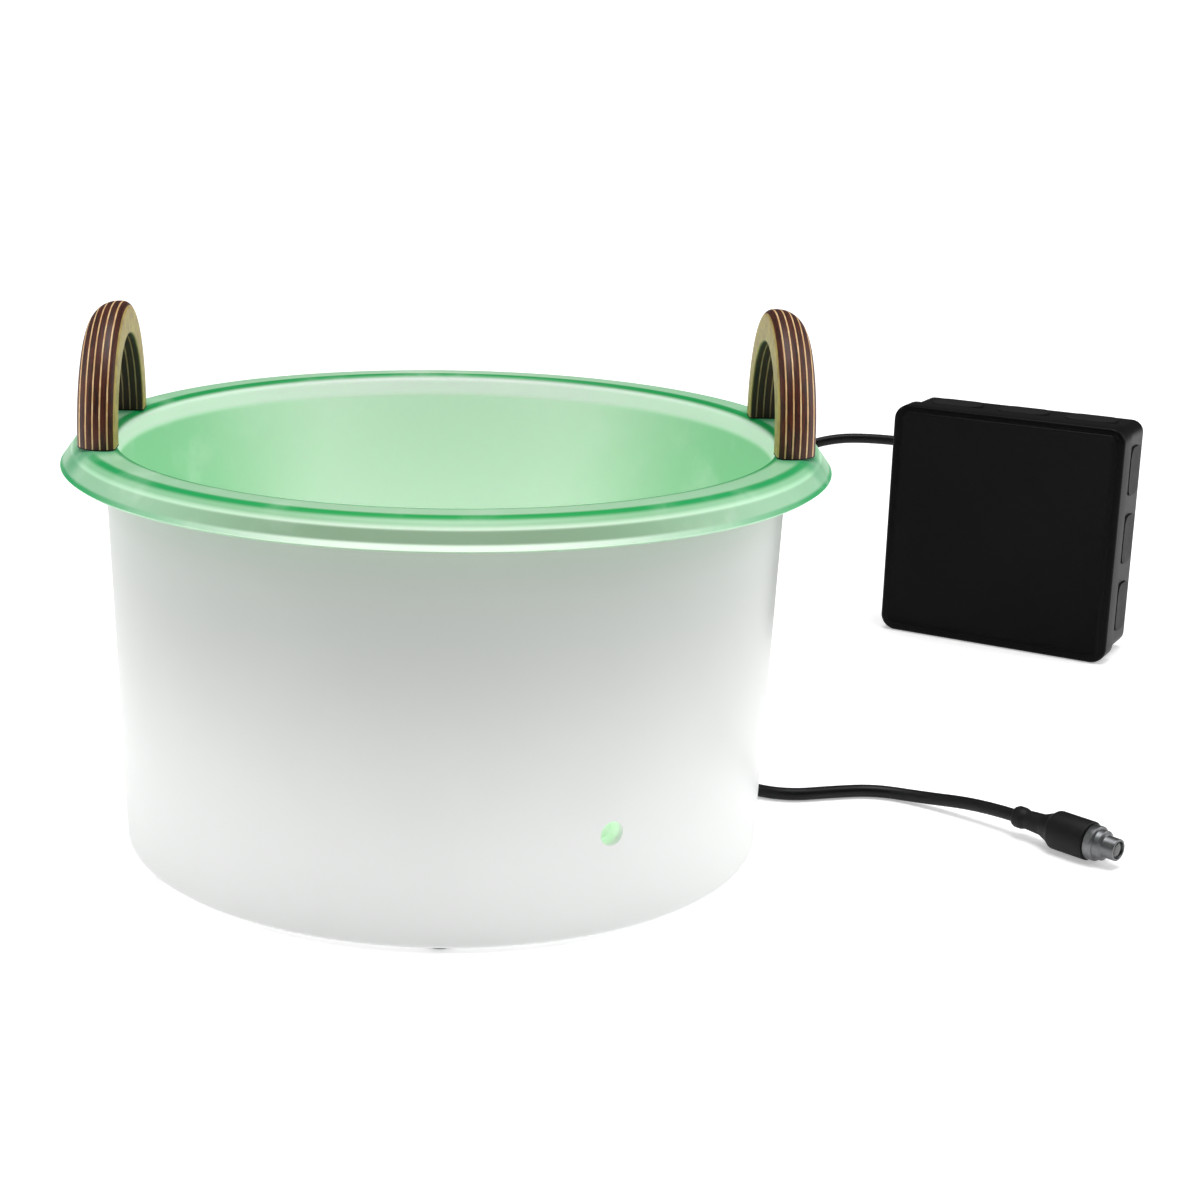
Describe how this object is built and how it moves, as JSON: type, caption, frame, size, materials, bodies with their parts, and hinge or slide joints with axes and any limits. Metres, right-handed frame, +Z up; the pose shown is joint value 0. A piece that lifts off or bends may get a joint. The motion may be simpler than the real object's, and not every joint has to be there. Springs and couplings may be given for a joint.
{
  "type": "pedicure foot bath",
  "caption": "Round foot bath: a translucent bowl with wooden arch handles lifts out of a plain drum with a light port, beside a supply box and a light head on a lead.",
  "frame": {"origin": "on the drum's vertical axis at the floor, the middle of the centre foot's underside", "axes": "+Z up, +X towards the supply box's side, -Y towards the sitter; one handle on each side along X"},
  "size_m": [0.7621, 0.7316, 0.32],
  "materials": {
    "drum_plastic": "satin white moulded plastic",
    "screw_steel": "zinc plated",
    "foot_rubber": "matt",
    "ring_silicone": "milky translucent silicone",
    "port_green": "translucent green plastic",
    "bowl_green": "frosted translucent green plastic",
    "laminated_wood": "dark and light plies, oiled",
    "insert_brass": "plain",
    "boot_rubber": "matt black",
    "barrel_metal": "turned, satin",
    "lens_glass": "clear lens over a dark well",
    "board_green": "circuit board",
    "chip_yellow": "phosphor",
    "wire_insulation": "wire insulation",
    "box_plastic": "satin black plastic",
    "lid_plastic": "satin black plastic",
    "membrane_rubber": "matt black",
    "plate_aluminium": "plain sheet",
    "driver_case": "pale grey plastic",
    "terminal_plastic": "natural nylon",
    "cord_jacket": "round black flexible cord",
    "tie_black": "hook-and-loop strap"
  },
  "bodies": {
    "drum": {"drum_shell": "drum_plastic", "drum_base_plate": "drum_plastic", "base_screws": "screw_steel", "drum_feet": "foot_rubber", "centre_foot": "foot_rubber", "rim_ring": "ring_silicone", "light_port_cup": "port_green", "box_base": "box_plastic", "lid_seal": "foot_rubber", "entry_membranes": "membrane_rubber", "mains_grommet": "membrane_rubber", "lead_grommet": "membrane_rubber", "mounting_plate": "plate_aluminium", "plate_screws": "screw_steel", "driver_module": "driver_case", "terminal_block": "terminal_plastic", "terminal_screws": "insert_brass", "lead_tail": "cord_jacket", "cable_clamp": "box_plastic", "clamp_screws": "screw_steel", "inner_wires": "wire_insulation", "lead_from_box": "cord_jacket", "lead_coil": "cord_jacket", "coil_tie": "tie_black", "lead_to_head": "cord_jacket", "head_boot": "boot_rubber", "head_barrel": "barrel_metal", "head_lens": "lens_glass", "led_board": "board_green", "led_chip": "chip_yellow", "head_wires": "wire_insulation"},
    "bowl": {"bowl": "bowl_green", "left_handle": "laminated_wood", "right_handle": "laminated_wood", "foot_gaskets": "foot_rubber", "threaded_inserts": "insert_brass", "handle_washers": "screw_steel", "handle_screws": "screw_steel"},
    "box_lid": {"box_lid": "lid_plastic"}
  },
  "joints": [
    {"name": "bowl_lift", "type": "slide", "parent": "drum", "child": "bowl", "axis": [0, 0, 1], "range_m": [0, 0.25]},
    {"name": "lid_pull", "type": "slide", "parent": "drum", "child": "box_lid", "axis": [-0.5299, -0.848, 0], "range_m": [0, 0.06]}
  ]
}
